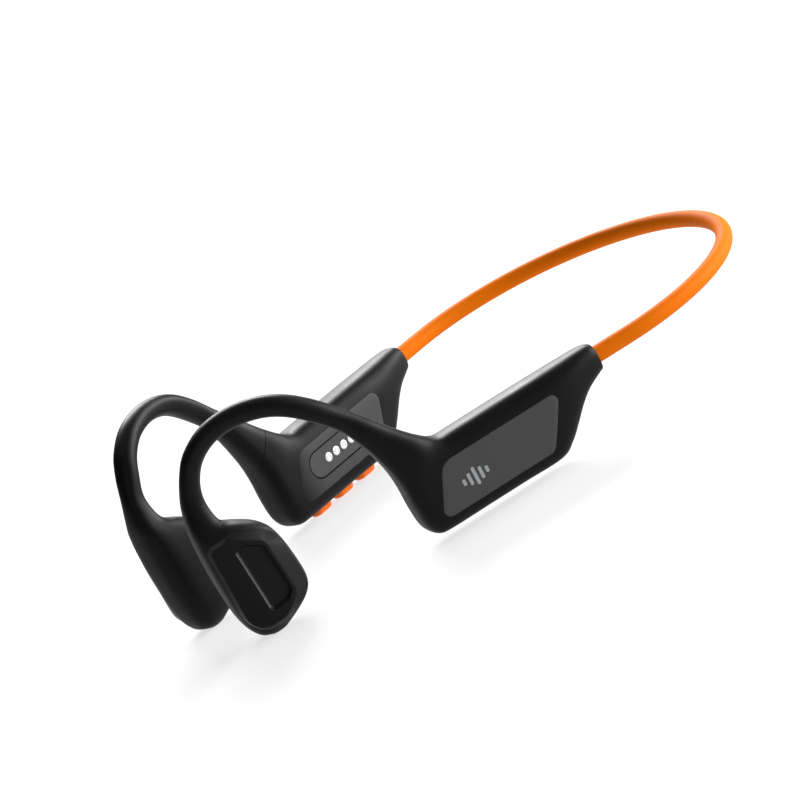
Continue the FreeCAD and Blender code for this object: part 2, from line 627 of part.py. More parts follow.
ARM_PIECES = {
    "outer_panel": outer_panel,
    "hook_sleeve": hook_sleeve,
    "hook_core_wire": hook_core_wire,
    "hook_lead_wires": hook_lead_wires,
    "transducer_outer_shell": transducer_outer_shell,
    "transducer_skin_cover": transducer_skin_cover,
    "transducer_face_insert": transducer_face_insert,
    "transducer_yoke": transducer_yoke,
    "transducer_magnet": transducer_magnet,
    "transducer_voice_coil": transducer_voice_coil,
    "transducer_spring_plate": transducer_spring_plate,
    "transducer_bracket": transducer_bracket,
    "band_anchor": band_anchor,
}
LEFT_PIECES = {
    "left_pod_outer_shell": pod_outer_shell,
    "left_pod_inner_cover": pod_inner_cover,
    "left_inner_panel": inner_panel,
    "battery_cell": battery_cell,
    "battery_protection_board": battery_protection_board,
    "battery_foam_pad": battery_foam_pad,
}
RIGHT_PIECES = {
    "right_pod_outer_shell": right_outer_shell,
    "right_pod_inner_cover": right_inner_cover,
    "right_inner_panel": right_inner_panel,
    "main_board": main_board,
    "board_chips": board_chips,
    "microphone": microphone,
    "antenna": antenna,
    "button_switches": button_switches,
    "button_seal": button_seal,
    "charging_pad": charging_pad,
    "charging_contacts": charging_contacts,
    "charging_magnets": charging_magnets,
}
RIGHT_PIECES.update(buttons)
BAND_PIECES = {
    "band_sleeve": band_sleeve,
    "band_core_wire": band_core_wire,
    "band_lead_wires": band_lead_wires,
}

headset = {}
for name, shape in ARM_PIECES.items():
    headset["left_" + name] = place_left(shape)
    headset["right_" + name] = mirrored(place_left(shape))
for name, shape in LEFT_PIECES.items():
    headset[name] = place_left(shape)
for name, shape in RIGHT_PIECES.items():
    headset[name] = mirrored(place_left(shape))
for name, shape in BAND_PIECES.items():
    headset["left_" + name] = shape
    headset["right_" + name] = mirrored(shape)

os.makedirs("parts", exist_ok=True)
for name, shape in headset.items():
    shape.exportStep("parts/" + name + ".step")

print(len(headset), "nodes")
for name, shape in headset.items():
    box = shape.optimalBoundingBox(True, False)
    print(f"{name:32s} valid {shape.isValid()} solids {len(shape.Solids)} volume {shape.Volume:9.1f}"
          f"  x {box.XMin:6.1f} {box.XMax:6.1f}  y {box.YMin:6.1f} {box.YMax:6.1f}"
          f"  z {box.ZMin:6.1f} {box.ZMax:6.1f}")
whole = Part.makeCompound(list(headset.values())).optimalBoundingBox(True, False)
print("whole box", whole)
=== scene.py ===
import json
import math

import bmesh
import bpy
from mathutils import Matrix, Vector
from mathutils.bvhtree import BVHTree


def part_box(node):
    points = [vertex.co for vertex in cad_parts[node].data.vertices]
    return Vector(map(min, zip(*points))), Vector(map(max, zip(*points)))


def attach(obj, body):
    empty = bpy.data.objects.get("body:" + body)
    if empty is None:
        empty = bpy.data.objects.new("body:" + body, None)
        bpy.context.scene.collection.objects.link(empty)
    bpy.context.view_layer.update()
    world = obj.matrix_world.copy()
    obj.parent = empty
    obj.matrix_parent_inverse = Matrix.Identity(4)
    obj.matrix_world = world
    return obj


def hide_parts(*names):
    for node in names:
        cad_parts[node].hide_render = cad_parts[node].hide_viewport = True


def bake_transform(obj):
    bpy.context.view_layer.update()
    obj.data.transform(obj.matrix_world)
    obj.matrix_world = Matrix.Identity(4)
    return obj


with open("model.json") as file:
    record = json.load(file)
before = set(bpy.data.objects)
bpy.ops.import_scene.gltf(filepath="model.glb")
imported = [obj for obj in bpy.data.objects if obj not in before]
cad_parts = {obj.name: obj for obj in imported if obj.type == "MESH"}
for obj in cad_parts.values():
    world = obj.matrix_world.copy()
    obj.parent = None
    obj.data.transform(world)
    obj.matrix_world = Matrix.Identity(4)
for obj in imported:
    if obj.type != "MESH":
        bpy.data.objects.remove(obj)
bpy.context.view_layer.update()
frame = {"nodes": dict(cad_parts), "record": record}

MM = 0.001

# ---- Driving dimensions, in millimetres -------------------------------------------------------

TOE_IN = math.radians(12.0)
BAND_RADIUS = 45.2
BAND_LEAD = 8.4              # straight run between the neckband's arc and a pod
BAND_TUBE_RADIUS = 2.0
sleeve_low, sleeve_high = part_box("left_band_sleeve")
BAND_HEIGHT = (sleeve_low.z + sleeve_high.z) / 2 / MM
BAND_BACK = sleeve_high.y / MM
BAND_CENTRE_Y = BAND_BACK - BAND_TUBE_RADIUS - BAND_RADIUS

POD_TOP = 21.2
POD_BOTTOM = 1.7
POD_THICKNESS = 11.0
SHELL_WALL = 1.3
SEAM_SHARE = 0.47            # seam's place between the middle surface and the inner face
HOOK_DIAMETER = 4.9
HOOK_BEND_START = -50.0      # along the pod, where the hook starts to lean towards the head
HOOK_BEND_LENGTH = 15.0
HOOK_BEND_ANGLE = math.radians(14.5)
TRANSDUCER_OUT = -9.2        # outward position of the transducer's middle
TRANSDUCER_THICKNESS = 11.0
BUTTON_PLACES = [-41.2, -33.0, -24.8]
BUTTON_LENGTH = 6.4
BUTTON_WIDTH = 3.8
BUTTON_OUT = 0.3             # outward position of the buttons' middle line
CHARGE_MIDDLE = (-32.2, 11.5)
CHARGE_LENGTH = 21.0
CHARGE_HEIGHT = 6.2
CHARGE_GAP = 0.36            # dark line round the charging pad
CHARGE_FLOOR = -3.2          # outward position of the end of the pad's opening
CONTACT_RADIUS = 1.1
CONTACT_PITCH = 2.8
CONTACT_COUNT = 4
CONTACT_FACE = -5.5          # outward position of the contacts' faces
CONTACT_BACK = -3.3
CONTACT_GROOVE = 0.1
BUTTON_GAP = 0.15
BUTTON_OPENING_TOP = 5.0     # height of the cutter's top; its bottom is as far below height 0
PANEL_DEPTH = 0.6            # depth of a panel's recess, measured from the pod's widest point
PANEL_THICKNESS = 0.5
PANEL_GAP = 0.03
GROOVE_DEPTH = 0.14          # parting line between the hook and the pod or the transducer
GROOVE_SHARE = 0.25          # length of the groove, as a share of a row's length
HOOK_BORE_RADIUS = 1.4
BAND_OPENING_GAP = 0.05      # between the neckband and the opening that it goes through
BAND_INSERT = 2.8            # length of the neckband's sleeve inside a pod
WIRE_INSERT = 12.0           # length of the core wire and the leads inside a pod
CORE_WIRE_RADIUS = 0.55
LEAD_RADIUS = 0.26
LEAD_OFFSET = 0.9            # from the core wire's axis to a lead's axis
MARK_MIDDLE = (-38.5, 10.2)
MARK_BAR_HEIGHTS = [1.6, 3.0, 4.4, 3.0, 1.6]
MARK_BAR_WIDTH = 0.8
MARK_BAR_PITCH = 1.5
MARK_DEPTH = 0.1             # how far a bar goes into the panel
MARK_PROUD = 0.015           # how far it stands out of it

STEPS = 6                    # rows of vertices made for each station
AROUND = 96                  # vertices round a full cross-section
OUTER_COLUMNS = 72           # faces across an outer shell
INNER_COLUMNS = 40           # faces across an inner cover
CLEAR = 20.0                 # how far a cutter reaches past the surface that it cuts

# A station is (upper or front edge, lower or rear edge, thickness, squareness), with the edges
# as (along the pod, height).
POD_STATIONS = [
    ((0.0, 20.4), (0.0, 14.0), 5.8, 2.5),
    ((-1.5, 21.0), (-1.6, 13.4), 6.9, 2.6),
    ((-4.5, POD_TOP), (-4.9, 11.9), 8.4, 2.7),
    ((-8.0, POD_TOP), (-8.1, 9.5), 9.7, 2.8),
    ((-11.0, POD_TOP), (-11.2, 6.4), 10.5, 2.9),
    ((-14.0, POD_TOP), (-14.3, 3.6), 10.9, 3.1),
    ((-18.0, POD_TOP), (-18.2, POD_BOTTOM), POD_THICKNESS, 3.4),
    ((-28.0, POD_TOP), (-28.0, POD_BOTTOM), POD_THICKNESS, 3.4),
    ((-37.0, POD_TOP), (-37.5, POD_BOTTOM), POD_THICKNESS, 3.4),
    ((-40.5, POD_TOP), (-42.5, POD_BOTTOM), POD_THICKNESS, 3.5),
    ((-42.2, 21.8), (-47.4, POD_BOTTOM), POD_THICKNESS, 3.5),
    ((-43.2, 22.5), (-50.8, 2.1), POD_THICKNESS, 3.4),
    ((-44.0, 23.2), (-52.9, 4.6), 10.9, 3.4),
    ((-44.8, 23.9), (-53.5, 9.4), 10.7, 3.3),
    ((-45.8, 24.9), (-53.6, 14.5), 10.1, 3.2),
    ((-47.4, 26.6), (-54.2, 19.3), 9.0, 3.0),
    ((-49.8, 29.4), (-55.6, 24.3), 7.6, 2.7),
    ((-52.6, 32.9), (-57.4, 29.2), 6.3, 2.4),
]
HOOK_CENTRES = [
    (-57.8, 35.2), (-62.5, 40.5), (-67.4, 44.6), (-72.5, 47.0), (-78.5, 47.9),
    (-84.6, 46.9), (-89.4, 43.9), (-92.2, 40.0),
]
TRANSDUCER_STATIONS = [
    ((-96.6, 36.2), (-91.5, 34.8), 5.1, 2.2),
    ((-97.8, 31.7), (-91.4, 30.9), 6.6, 2.4),
    ((-98.3, 28.7), (-90.4, 28.2), 8.2, 2.7),
    ((-98.4, 26.4), (-87.2, 26.3), 9.6, 2.9),
    ((-98.5, 24.3), (-84.0, 24.2), 10.4, 3.0),
    ((-98.5, 21.8), (-81.9, 21.8), 10.8, 3.1),
    ((-98.5, 18.0), (-80.6, 18.0), TRANSDUCER_THICKNESS, 3.1),
    ((-98.2, 13.0), (-79.8, 12.5), TRANSDUCER_THICKNESS, 3.1),
    ((-97.8, 8.6), (-79.6, 8.3), TRANSDUCER_THICKNESS, 3.1),
    ((-97.2, 5.6), (-80.3, 5.7), 10.5, 3.0),
    ((-96.3, 3.1), (-82.1, 3.8), 9.3, 3.0),
    ((-94.9, 1.1), (-85.2, 1.9), 7.2, 2.8),
    ((-92.8, 0.0), (-88.2, 0.3), 4.4, 2.6),
]
POD_PARTING = 15             # the pod ends and the hook starts at this station
TRANSDUCER_PARTING = 2       # the hook ends at this station of the transducer

OUTER_PANEL = [(-44.2, 16.7), (-12.4, 16.7), (-19.6, 4.9), (-49.7, 4.9)]
OUTER_PANEL_RADII = [4.0, 1.6, 2.2, 1.8]
INNER_PANEL = [(-43.8, 17.0), (-14.0, 17.0), (-18.8, 5.4), (-50.0, 5.4)]
INNER_PANEL_RADII = [4.0, 2.0, 2.2, 2.2]
# The transducer's face plate: a bevel from FACE_EDGE up to FACE_FLAT, and a pocket sunk in the
# flat. All four outlines have their corners in the same order.
FACE_EDGE = [
    (-97.8, 25.3), (-90.6, 25.9), (-81.6, 21.4),
    (-80.3, 6.4), (-87.3, 1.1), (-97.1, 0.8),
]
FACE_EDGE_RADII = [2.0, 3.0, 6.5, 2.5, 5.0, 7.5]
FACE_FLAT = [
    (-97.0, 24.4), (-92.2, 24.7), (-85.2, 20.4),
    (-84.0, 6.6), (-88.2, 3.0), (-96.7, 2.6),
]
FACE_FLAT_RADII = [1.5, 1.5, 1.8, 2.2, 3.0, 4.5]
POCKET_EDGE = [
    (-92.2, 22.2), (-89.6, 22.1), (-85.7, 19.6),
    (-84.6, 7.6), (-86.4, 5.9), (-91.0, 5.6),
]
POCKET_EDGE_RADII = [0.8, 1.2, 1.3, 1.2, 1.0, 0.9]
POCKET_FLOOR = [
    (-91.6, 21.6), (-89.5, 21.5), (-86.2, 19.2),
    (-85.1, 7.9), (-86.6, 6.4), (-90.5, 6.1),
]
POCKET_FLOOR_RADII = [0.6, 1.0, 1.0, 0.9, 0.8, 0.7]
FACE_OUT = -3.9              # outward position of the crown of the face plate's flat
FACE_CROWN = (-90.0, 13.0)
FACE_SEAT = -6.9             # outward position of the seat for the face plate
FACE_BACK = 0.9              # from the skin down to the plate's back
FACE_FALL_FRONT = 0.022      # how fast the flat falls away from its crown, per millimetre squared
FACE_FALL_REAR = 0.010
FACE_FALL_BELOW = 0.006
POCKET_DEPTH = 0.8
LEDGE_REAR = -90.3           # the pocket's edge with the painted highlight is in front of this
LEDGE_HEIGHTS = (6.6, 21.3)


# ---- Camera -----------------------------------------------------------------------------------

VIEW_TARGET = Vector((0.0, -11.3, 22.0)) * MM
VIEW_FROM = Vector((0.857, -0.439, 0.270)).normalized()
VIEW_UP = Vector((0.0, 0.523, 0.852))
VIEW_DISTANCE = 1.0941
LENS = 216.6


def make_camera():
    data = bpy.data.cameras.new("camera")
    data.lens = LENS
    data.sensor_width = 36.0
    data.clip_end = 50.0
    camera = bpy.data.objects.new("camera", data)
    bpy.context.scene.collection.objects.link(camera)
    backward = VIEW_FROM
    right = VIEW_UP.cross(backward).normalized()
    up = backward.cross(right)
    turn = Matrix((right, up, backward)).transposed().to_4x4()
    camera.matrix_world = Matrix.Translation(VIEW_TARGET + VIEW_FROM * VIEW_DISTANCE) @ turn
    bpy.context.scene.camera = camera


make_camera()


# ---- Shape of an arm --------------------------------------------------------------------------

def lean(along):
    """Outward offset and lean angle of the arm's middle surface."""
    run = HOOK_BEND_START - along
    if run <= 0:
        return 0.0, 0.0
    if run < HOOK_BEND_LENGTH:
        angle = HOOK_BEND_ANGLE * run / HOOK_BEND_LENGTH
        return -run * math.tan(angle / 2), angle
    offset = -HOOK_BEND_LENGTH * math.tan(HOOK_BEND_ANGLE / 2)
    offset -= (run - HOOK_BEND_LENGTH) * math.tan(HOOK_BEND_ANGLE)
    return max(offset, TRANSDUCER_OUT), HOOK_BEND_ANGLE


def full_station(station, out=None):
    upper, lower, thickness, squareness = station
    offset, angle = lean((upper[0] + lower[0]) / 2)
    if out is not None:
        offset, angle = out, 0.0
    return [*upper, *lower, thickness, squareness, offset, angle]


def smoothed(rows, steps):
    """Rows of numbers with steps rows made for each, on a smooth curve through all of them."""
    result = []
    for index in range(len(rows) - 1):
        before = rows[max(index - 1, 0)]
        start, finish = rows[index], rows[index + 1]
        after = rows[min(index + 2, len(rows) - 1)]
        for step in range(steps):
            t = step / steps
            row = []
            for p, q, r, s in zip(before, start, finish, after):
                row.append(q + 0.5 * t * (r - p + t * (2 * p - 5 * q + 4 * r - s
                                                       + t * (3 * q - p - 3 * r + s))))
            result.append(row)
    return result + [list(rows[-1])]


def hook_stations():
    stations = []
    last = len(HOOK_CENTRES) - 1
    for index, (along, height) in enumerate(HOOK_CENTRES):
        before = HOOK_CENTRES[max(index - 1, 0)]
        after = HOOK_CENTRES[min(index + 1, last)]
        run = math.hypot(after[0] - before[0], after[1] - before[1])
        normal = ((after[1] - before[1]) / run, -(after[0] - before[0]) / run)
        half = HOOK_DIAMETER / 2
        stations.append((
            (along + normal[0] * half, height + normal[1] * half),
            (along - normal[0] * half, height - normal[1] * half), HOOK_DIAMETER, 2.1
        ))
    return stations


ARM_STATIONS = [full_station(s) for s in POD_STATIONS + hook_stations()]
TRANSDUCER_FIRST = len(ARM_STATIONS) + TRANSDUCER_PARTING
ARM_STATIONS += [full_station(s, TRANSDUCER_OUT) for s in TRANSDUCER_STATIONS]
ARM_ROWS = smoothed(ARM_STATIONS, STEPS)


def scaled_row(row, share, thickness, squareness):
    """Cross-section with its edges drawn in towards its middle."""
    middle = ((row[0] + row[2]) / 2, (row[1] + row[3]) / 2)
    edges = [middle[i % 2] + (row[i] - middle[i % 2]) * share for i in range(4)]
    return [*edges, thickness, squareness, *row[6:]]


def section_point(row, turn, inset=0.0):
    """Point of a cross-section, in the arm frame, at an angle from its upper edge outwards."""
    upper_along, upper_height, lower_along, lower_height, thickness, square, out, angle = row
    middle = Vector((out, (upper_along + lower_along) / 2, (upper_height + lower_height) / 2))
    half_a = Vector((0, upper_along - lower_along, upper_height - lower_height)) / 2
    size_b = max(thickness / 2 - inset, 0.02)
    half_a *= max(half_a.length - inset, 0.02) / half_a.length
    half_b = Vector((math.cos(angle), -math.sin(angle), 0)) * size_b
    power = 2.0 / square
    a = math.copysign(abs(math.cos(turn)) ** power, math.cos(turn))
    b = math.copysign(abs(math.sin(turn)) ** power, math.sin(turn))
    return middle + half_a * a + half_b * b


def even_turns(first, last, count):
    return [first + (last - first) * step / count for step in range(count + 1)]


def grid_faces(rows, columns, offset=0, flip=False, closed=False):
    faces = []
    across = columns if closed else columns - 1
    for row in range(rows - 1):
        for column in range(across):
            beside = (column + 1) % columns
            a = offset + row * columns + column
            b = offset + row * columns + beside
            face = (a, b, b + columns, a + columns)
            faces.append(face[::-1] if flip else face)
    return faces


# ---- Making pieces ----------------------------------------------------------------------------

ARM_ORIGIN = Vector((
    BAND_RADIUS * math.cos(TOE_IN) - BAND_LEAD * math.sin(TOE_IN),
    BAND_CENTRE_Y - BAND_RADIUS * math.sin(TOE_IN) - BAND_LEAD * math.cos(TOE_IN), 0.0
))
ARM_TO_ROW = Matrix.Scale(MM, 4) @ Matrix.Translation(ARM_ORIGIN) @ Matrix.Rotation(-TOE_IN, 4, "Z")
MIRROR = Matrix.Diagonal((-1.0, 1.0, 1.0, 1.0))


def new_object(name, points, faces, material, side=None):
    """Mesh object. With a side, its points are in the arm frame in millimetres."""
    mesh = bpy.data.meshes.new(name)
    mesh.from_pydata([tuple(p) for p in points], [], faces)
    if side:
        mesh.transform(ARM_TO_ROW)
        if side == "right":
            mesh.transform(MIRROR)
            mesh.flip_normals()
    mesh.update()
    piece = bpy.data.objects.new(name, mesh)
    bpy.context.scene.collection.objects.link(piece)
    piece.data.materials.append(material)
    clean(piece)
    return piece


def clean(piece, merge=0.00001):
    """Merge doubled points and turn every face outwards."""
    work = bmesh.new()
    work.from_mesh(piece.data)
    bmesh.ops.remove_doubles(work, verts=work.verts, dist=merge)
    bmesh.ops.dissolve_degenerate(work, edges=work.edges, dist=merge / 10)
    bmesh.ops.recalc_face_normals(work, faces=work.faces)
    work.to_mesh(piece.data)
    work.free()


def smooth(piece, angle=35.0):
    """Smooth shading, with edges sharper than the angle kept crisp."""
    mesh = piece.data
    mesh.polygons.foreach_set("use_smooth", [True] * len(mesh.polygons))
    work = bmesh.new()
    work.from_mesh(mesh)
    limit = math.radians(angle)
    for edge in work.edges:
        edge.smooth = len(edge.link_faces) != 2 or edge.calc_face_angle(0.0) < limit
    work.to_mesh(mesh)
    work.free()
    mesh.update()


def apply_modifiers(piece):
    bpy.context.view_layer.update()
    graph = bpy.context.evaluated_depsgraph_get()
    mesh = bpy.data.meshes.new_from_object(piece.evaluated_get(graph))
    piece.modifiers.clear()
    piece.data = mesh


def cut_with(piece, tool):
    """Take the tool's volume away from the piece, and remove the tool."""
    cut = piece.modifiers.new("cut", "BOOLEAN")
    cut.operation = "DIFFERENCE"
    cut.solver = "EXACT"
    cut.object = tool
    apply_modifiers(piece)
    bpy.data.objects.remove(tool)


def shell_piece(name, rows, span, count, side, end_bore=None):
    """Walled part of an arm's skin; span gives a row's first and last turn."""
    outer, inner = [], []
    for index, row in enumerate(rows):
        for turn in even_turns(*span(row), count):
            outer.append(section_point(row, turn))
            if end_bore and index == 0:
                inner.append(end_point(row, turn, end_bore))
            else:
                inner.append(section_point(row, turn, SHELL_WALL))
    columns = count + 1
    total = len(outer)
    faces = grid_faces(len(rows), columns) + grid_faces(len(rows), columns, total, True)
    for row in range(len(rows) - 1):
        low, next_low = row * columns, (row + 1) * columns
        high, next_high = low + count, next_low + count
        faces.append((low, next_low, next_low + total, low + total))
        faces.append((high, high + total, next_high + total, next_high))
    last_row = (len(rows) - 1) * columns
    for column in range(count):
        faces.append((column, column + 1, column + 1 + total, column + total))
        a, b = last_row + column, last_row + column + 1
        faces.append((a, a + total, b + total, b))
    return new_object(name, outer + inner, faces, BLACK, side)


def end_point(row, turn, radius):
    """Point of the round opening that the neckband goes through, at the pod's rear end."""
    return Vector((
        radius * math.sin(turn), (row[0] + row[2]) / 2, BAND_HEIGHT + radius * math.cos(turn)
    ))


def sleeve_piece(name, rows, bore, material, side):
    """Whole skin of a stretch of the arm, with a round bore.

    A fine groove parts it from the pod on the inner side, and from the transducer behind.
    """
    def between(first, second):
        return [p + (q - p) * GROOVE_SHARE for p, q in zip(first, second)]

    rows = [rows[0], between(rows[0], rows[1]), *rows[1:-1], between(rows[-1], rows[-2]),
            rows[-1]]
    outer, inner = [], []
    for index, row in enumerate(rows):
        half = math.hypot(row[0] - row[2], row[1] - row[3]) / 2
        bore_row = scaled_row(row, bore / half, 2 * bore, 2.0)
        for step in range(AROUND):
            turn = 2 * math.pi * step / AROUND
            groove = 0.0
            if index == 0:
                groove = GROOVE_DEPTH * max(-math.sin(turn), 0.0)
            elif index == len(rows) - 1:
                groove = GROOVE_DEPTH * max(-math.cos(turn), 0.0) ** 4
            outer.append(section_point(row, turn, groove))
            inner.append(section_point(bore_row, turn))
    total = len(outer)
    faces = grid_faces(len(rows), AROUND, 0, False, True)
    faces += grid_faces(len(rows), AROUND, total, True, True)
    last_row = (len(rows) - 1) * AROUND
    for column in range(AROUND):
        beside = (column + 1) % AROUND
        faces.append((column, column + total, beside + total, beside))
        a, b = last_row + column, last_row + beside
        faces.append((a, b, b + total, a + total))
    return new_object(name, outer + inner, faces, material, side)


def rounded_outline(corners, radii, grow=0.0, arc_steps=8, side_steps=16):
    """Points round a polygon of (along, height) with rounded corners, moved outwards by grow.

    Outlines with as many corners have as many points, so rings can be joined between them.
    """
    count = len(corners)
    arcs = []
    for index in range(count):
        corner = Vector(corners[index])
        to_last = (Vector(corners[index - 1]) - corner).normalized()
        to_next = (Vector(corners[(index + 1) % count]) - corner).normalized()
        half = to_last.angle(to_next) / 2
        radius = radii[index]
        centre = corner + (to_last + to_next).normalized() * (radius / math.sin(half))
        start = corner + to_last * (radius / math.tan(half)) - centre
        cross = to_last.x * to_next.y - to_last.y * to_next.x
        sweep = math.copysign(math.pi - 2 * half, -cross)
        arc = []
        for step in range(arc_steps + 1):
            turn = sweep * step / arc_steps
            spoke = Vector((
                start.x * math.cos(turn) - start.y * math.sin(turn),
                start.x * math.sin(turn) + start.y * math.cos(turn)
            ))
            arc.append(centre + spoke * ((radius + grow) / radius))
        arcs.append(arc)
    points = []
    for index, arc in enumerate(arcs):
        following = arcs[(index + 1) % count][0]
        points += arc
        points += [arc[-1].lerp(following, step / side_steps) for step in range(1, side_steps)]
    return points


def middle_of(points):
    return sum(points, points[0] * 0.0) / len(points)


def skin_tree(first, last):
    """Search tree of an arm's outer skin between two stations, in the arm frame."""
    rows = ARM_ROWS[first * STEPS:last * STEPS + 1]
    points = [section_point(row, 2 * math.pi * s / AROUND) for row in rows for s in range(AROUND)]
    faces = grid_faces(len(rows), AROUND, 0, False, True)
    return BVHTree.FromPolygons([tuple(p) for p in points], faces)


def skin_out(tree, along, height, facing):
    """Outward position of the skin over a point; facing is 1 for the outer face, -1 for inner."""
    start = Vector((60.0 * facing, along, height))
    hit = tree.ray_cast(start, Vector((-facing, 0, 0)))[0]
    return hit.x if hit else None


def prism_faces(count):
    """Faces between two rings with as many points, and across each ring."""
    faces = [tuple(range(count))[::-1], tuple(range(count, 2 * count))]
    for index in range(count):
        beside = (index + 1) % count
        faces.append((index, beside, beside + count, index + count))
    return faces


def ring_piece(name, rings, material, side):
    """Closed piece from rings of points: a flat back, then rings that end near its middle."""
    count = len(rings[0])
    points = [p for ring in rings for p in ring]
    faces = grid_faces(len(rings), count, 0, False, True)
    faces.append(tuple(range(count)))
    tip = len(points)
    last_row = (len(rings) - 1) * count
    points.append(middle_of(rings[-1]))
    for index in range(count):
        faces.append((last_row + index, last_row + (index + 1) % count, tip))
    piece = new_object(name, points, faces, material, side)
    smooth(piece, 50.0)
    return piece


def inlay(name, tree, corners, radii, facing, depth, proud, material, side):
    """Plate let into the skin: it follows the skin's surface and has softly rounded edges."""
    outline = rounded_outline(corners, radii)
    middle = middle_of(outline)

    def ring(share, lift):
        level = []
        for point in outline:
            place = point.lerp(middle, share)
            out = skin_out(tree, place.x, place.y, facing)
            level.append(Vector((out + facing * lift, place.x, place.y)))
        return level

    rings = [ring(0.0, -depth), ring(0.0, proud - 0.06), ring(0.006, proud - 0.02)]
    rings += [ring(share, proud) for share in (0.014, 0.1, 0.25, 0.4, 0.55, 0.7, 0.85, 0.95)]
    return ring_piece(name, rings, material, side)


def face_out(place, sunk=0.0):
    """Point of the face plate's slightly crowned flat over a place, sunk by a depth."""
    along = place.x - FACE_CROWN[0]
    below = min(place.y - FACE_CROWN[1], 0.0)
    fall = FACE_FALL_FRONT if along < 0 else FACE_FALL_REAR
    out = FACE_OUT - fall * along ** 2 - FACE_FALL_BELOW * below ** 2 - sunk
    return Vector((out, place.x, place.y))


def face_plate(name, side):
    """The transducer's face plate, with its bevel and its sunk pocket."""
    edge = rounded_outline(FACE_EDGE, FACE_EDGE_RADII)
    flat = rounded_outline(FACE_FLAT, FACE_FLAT_RADII)
    pocket = rounded_outline(POCKET_EDGE, POCKET_EDGE_RADII)
    floor = rounded_outline(POCKET_FLOOR, POCKET_FLOOR_RADII)
    middle = middle_of(floor)
    skin = [Vector((skin_out(TRANSDUCER_TREE, p.x, p.y, 1), p.x, p.y)) for p in edge]
    bevel_top = [face_out(p) for p in flat]

    def on_face(first, second, share, sunk):
        return [face_out(p.lerp(q, share), sunk) for p, q in zip(first, second)]

    rings = [[p - Vector((FACE_BACK, 0, 0)) for p in skin]]
    rings += [[p.lerp(q, share) for p, q in zip(skin, bevel_top)]
              for share in (0.0, 0.04, 0.25, 0.5, 0.75, 0.94)]
    bevel_rings = len(rings)
    rings += [on_face(flat, pocket, share, 0.0) for share in (0.07, 0.3, 0.6, 0.85)]
    rings.append(on_face(flat, pocket, 0.97, 0.02))
    ledge = len(rings)
    rings += [on_face(pocket, floor, share, 0.06 + share * (POCKET_DEPTH - 0.08))
              for share in (0.1, 0.5, 0.92)]
    rings += [on_face(floor, [middle] * len(floor), share, POCKET_DEPTH)
              for share in (0.04, 0.3, 0.5, 0.7, 0.85, 0.95)]
    count = len(edge)
    plate = ring_piece(name, rings, BLACK, side)
    plate.data.materials.append(LEDGE_PAINTED_HIGHLIGHT)
    plate.data.materials.append(RIM)
    painted_highlight_index, rim_index = 1, 2
    # Painted highlight: faces of the pocket's front edge between these heights take the lighter
    # grey highlight material.
    low, high = LEDGE_HEIGHTS
    for face in plate.data.polygons:
        place = ARM_TO_ROW.inverted() @ (MIRROR @ face.center if side == "right" else face.center)
        on_ledge = place.y < LEDGE_REAR and low < place.z < high
        first, last = min(face.vertices), max(face.vertices)
        if last < bevel_rings * count:
            face.material_index = rim_index
        elif on_ledge and first >= (ledge - 1) * count and last < (ledge + 3) * count:
            face.material_index = painted_highlight_index
    return plate


def recess_tool(corners, radii, low, high, grow, side):
    """Straight-sided cutter through a rounded outline between two outward positions."""
    outline = rounded_outline(corners, radii, grow)
    points = [Vector((out, p.x, p.y)) for out in (low, high) for p in outline]
    return new_object("recess", points, prism_faces(len(outline)), BLACK, side)


# ---- Materials --------------------------------------------------------------------------------

def make_material(name, colour, roughness, metallic=0.0, grain_scale=900.0, grain_depth=0.03,
                  variation=0.06, roughness_spread=0.06, blotch_scale=60.0, specular=0.5):
    """Surface with grain in its bump, blotches in its roughness and a little colour variation."""
    material = bpy.data.materials.new(name)
    material.use_nodes = True
    nodes, links = material.node_tree.nodes, material.node_tree.links
    shader = nodes["Principled BSDF"]
    shader.inputs["Metallic"].default_value = metallic
    shader.inputs["Specular IOR Level"].default_value = specular
    place = nodes.new("ShaderNodeTexCoord")
    blotch = nodes.new("ShaderNodeTexNoise")
    blotch.inputs["Scale"].default_value = blotch_scale
    blotch.inputs["Detail"].default_value = 4.0
    links.new(place.outputs["Object"], blotch.inputs["Vector"])
    spread = nodes.new("ShaderNodeMapRange")
    spread.inputs["From Min"].default_value = 0.3
    spread.inputs["From Max"].default_value = 0.7
    spread.inputs["To Min"].default_value = roughness - roughness_spread
    spread.inputs["To Max"].default_value = roughness + roughness_spread
    links.new(blotch.outputs["Fac"], spread.inputs["Value"])
    links.new(spread.outputs["Result"], shader.inputs["Roughness"])
    tint = nodes.new("ShaderNodeValToRGB")
    dark = [c * (1 - variation) for c in colour]
    light = [min(c * (1 + variation), 1.0) for c in colour]
    tint.color_ramp.elements[0].position = 0.35
    tint.color_ramp.elements[1].position = 0.65
    tint.color_ramp.elements[0].color = (*dark, 1)
    tint.color_ramp.elements[1].color = (*light, 1)
    links.new(blotch.outputs["Fac"], tint.inputs["Fac"])
    links.new(tint.outputs["Color"], shader.inputs["Base Color"])
    grain = nodes.new("ShaderNodeTexNoise")
    grain.inputs["Scale"].default_value = grain_scale
    grain.inputs["Detail"].default_value = 3.0
    links.new(place.outputs["Object"], grain.inputs["Vector"])
    bump = nodes.new("ShaderNodeBump")
    bump.inputs["Strength"].default_value = grain_depth
    bump.inputs["Distance"].default_value = 0.0002
    links.new(grain.outputs["Fac"], bump.inputs["Height"])
    links.new(bump.outputs["Normal"], shader.inputs["Normal"])
    return material


